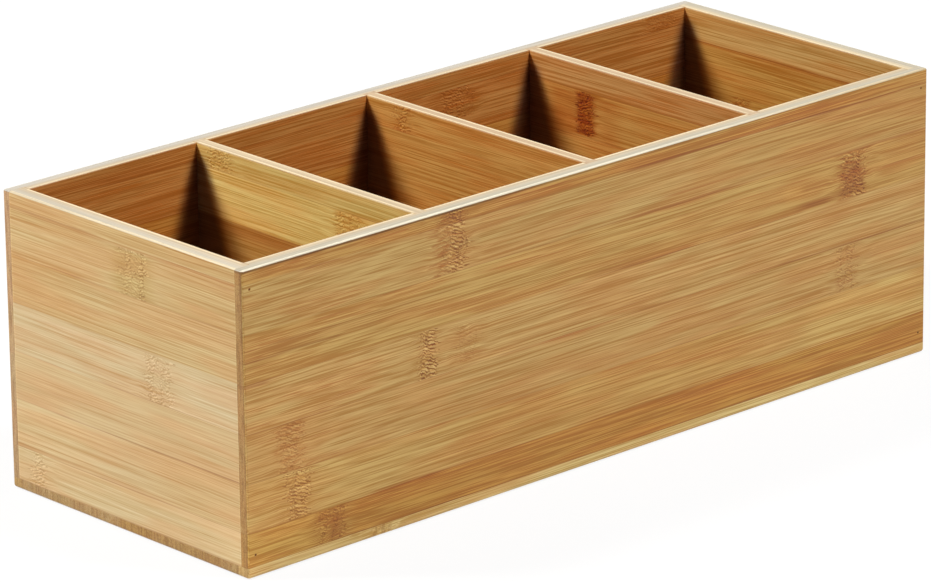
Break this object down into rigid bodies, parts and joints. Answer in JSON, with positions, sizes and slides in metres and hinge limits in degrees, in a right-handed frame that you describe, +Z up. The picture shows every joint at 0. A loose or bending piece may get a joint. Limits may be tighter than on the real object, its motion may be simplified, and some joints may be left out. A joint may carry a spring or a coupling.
{
  "type": "cutlery caddy",
  "caption": "Open-topped oblong bamboo caddy split by fixed dividers into equal compartments for upright cutlery.",
  "frame": {"origin": "middle of the underside of the base panel, where the caddy stands", "axes": "+X along the length from the left end to the right end, +Y from the front wall to the back wall, +Z up"},
  "size_m": [0.355, 0.135, 0.1175],
  "materials": {
    "bamboo_long_wall": "carbonised bamboo strips, satin clear lacquer",
    "bamboo_end_board": "light bamboo strips, satin clear lacquer",
    "bamboo_divider": "golden bamboo strips, satin clear lacquer",
    "bamboo_base": "pale bamboo strips, satin clear lacquer",
    "pin_steel": "dull steel under dark filler"
  },
  "bodies": {
    "root": {"base_panel": "bamboo_base", "front_wall": "bamboo_long_wall", "back_wall": "bamboo_long_wall", "left_end_board": "bamboo_end_board", "right_end_board": "bamboo_end_board", "left_divider": "bamboo_divider", "middle_divider": "bamboo_divider", "right_divider": "bamboo_divider", "front_left_upper_pin": "pin_steel", "front_left_lower_pin": "pin_steel", "front_right_upper_pin": "pin_steel", "front_right_lower_pin": "pin_steel", "back_left_upper_pin": "pin_steel", "back_left_lower_pin": "pin_steel", "back_right_upper_pin": "pin_steel", "back_right_lower_pin": "pin_steel"}
  },
  "joints": []
}
